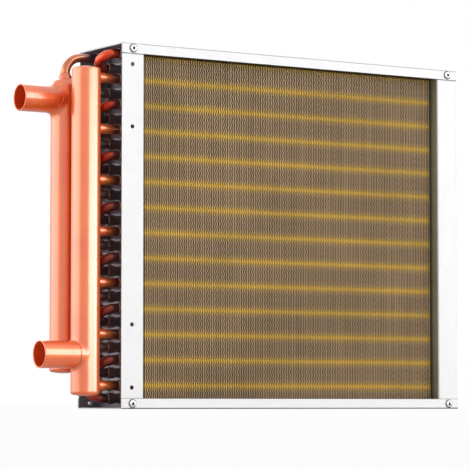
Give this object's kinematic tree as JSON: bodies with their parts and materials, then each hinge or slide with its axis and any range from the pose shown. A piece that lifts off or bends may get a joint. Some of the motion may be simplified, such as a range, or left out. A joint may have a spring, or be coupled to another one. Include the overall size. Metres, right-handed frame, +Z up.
{
  "type": "water-to-air heat exchanger",
  "caption": "Water-to-air heat exchanger: copper tubes through an aluminium fin pack in a sheet casing, with headers and two water ports at one end.",
  "frame": {"origin": "centre of the casing's underside, on the bottom channel", "axes": "+Z up along the height, +X along the finned length away from the headers, -Y out of the front air face"},
  "size_m": [0.4923, 0.093, 0.362],
  "materials": {
    "casing_sheet": "bright galvanised sheet",
    "fin_aluminium": "thin fin stock with a gold tint",
    "tube_copper": "copper tube, brazed at its joints",
    "header_copper": "satin copper",
    "rivet_metal": "plain blind rivet"
  },
  "bodies": {
    "root": {"top_channel": "casing_sheet", "bottom_channel": "casing_sheet", "header_tube_sheet": "casing_sheet", "return_tube_sheet": "casing_sheet", "fin_pack": "fin_aluminium", "hairpin_front_01": "tube_copper", "hairpin_front_02": "tube_copper", "hairpin_front_03": "tube_copper", "hairpin_front_04": "tube_copper", "hairpin_front_05": "tube_copper", "hairpin_front_06": "tube_copper", "hairpin_front_07": "tube_copper", "hairpin_middle_01": "tube_copper", "hairpin_middle_02": "tube_copper", "hairpin_middle_03": "tube_copper", "hairpin_middle_04": "tube_copper", "hairpin_middle_05": "tube_copper", "hairpin_middle_06": "tube_copper", "hairpin_middle_07": "tube_copper", "hairpin_back_01": "tube_copper", "hairpin_back_02": "tube_copper", "hairpin_back_03": "tube_copper", "hairpin_back_04": "tube_copper", "hairpin_back_05": "tube_copper", "hairpin_back_06": "tube_copper", "hairpin_back_07": "tube_copper", "return_bend_front_01": "tube_copper", "return_bend_front_02": "tube_copper", "return_bend_front_03": "tube_copper", "return_bend_front_04": "tube_copper", "return_bend_front_05": "tube_copper", "return_bend_front_06": "tube_copper", "return_bend_front_07": "tube_copper", "return_bend_back_01": "tube_copper", "return_bend_back_02": "tube_copper", "return_bend_back_03": "tube_copper", "return_bend_back_04": "tube_copper", "return_bend_back_05": "tube_copper", "return_bend_back_06": "tube_copper", "return_bend_back_07": "tube_copper", "front_header": "header_copper", "back_header": "header_copper", "front_port": "header_copper", "back_port": "header_copper", "back_top_feeder": "header_copper", "rivet_front_top_header_end": "rivet_metal", "rivet_front_top_return_end": "rivet_metal", "rivet_front_bottom_header_end": "rivet_metal", "rivet_front_bottom_return_end": "rivet_metal", "rivet_back_top_header_end": "rivet_metal", "rivet_back_top_return_end": "rivet_metal", "rivet_back_bottom_header_end": "rivet_metal", "rivet_back_bottom_return_end": "rivet_metal"}
  },
  "joints": []
}
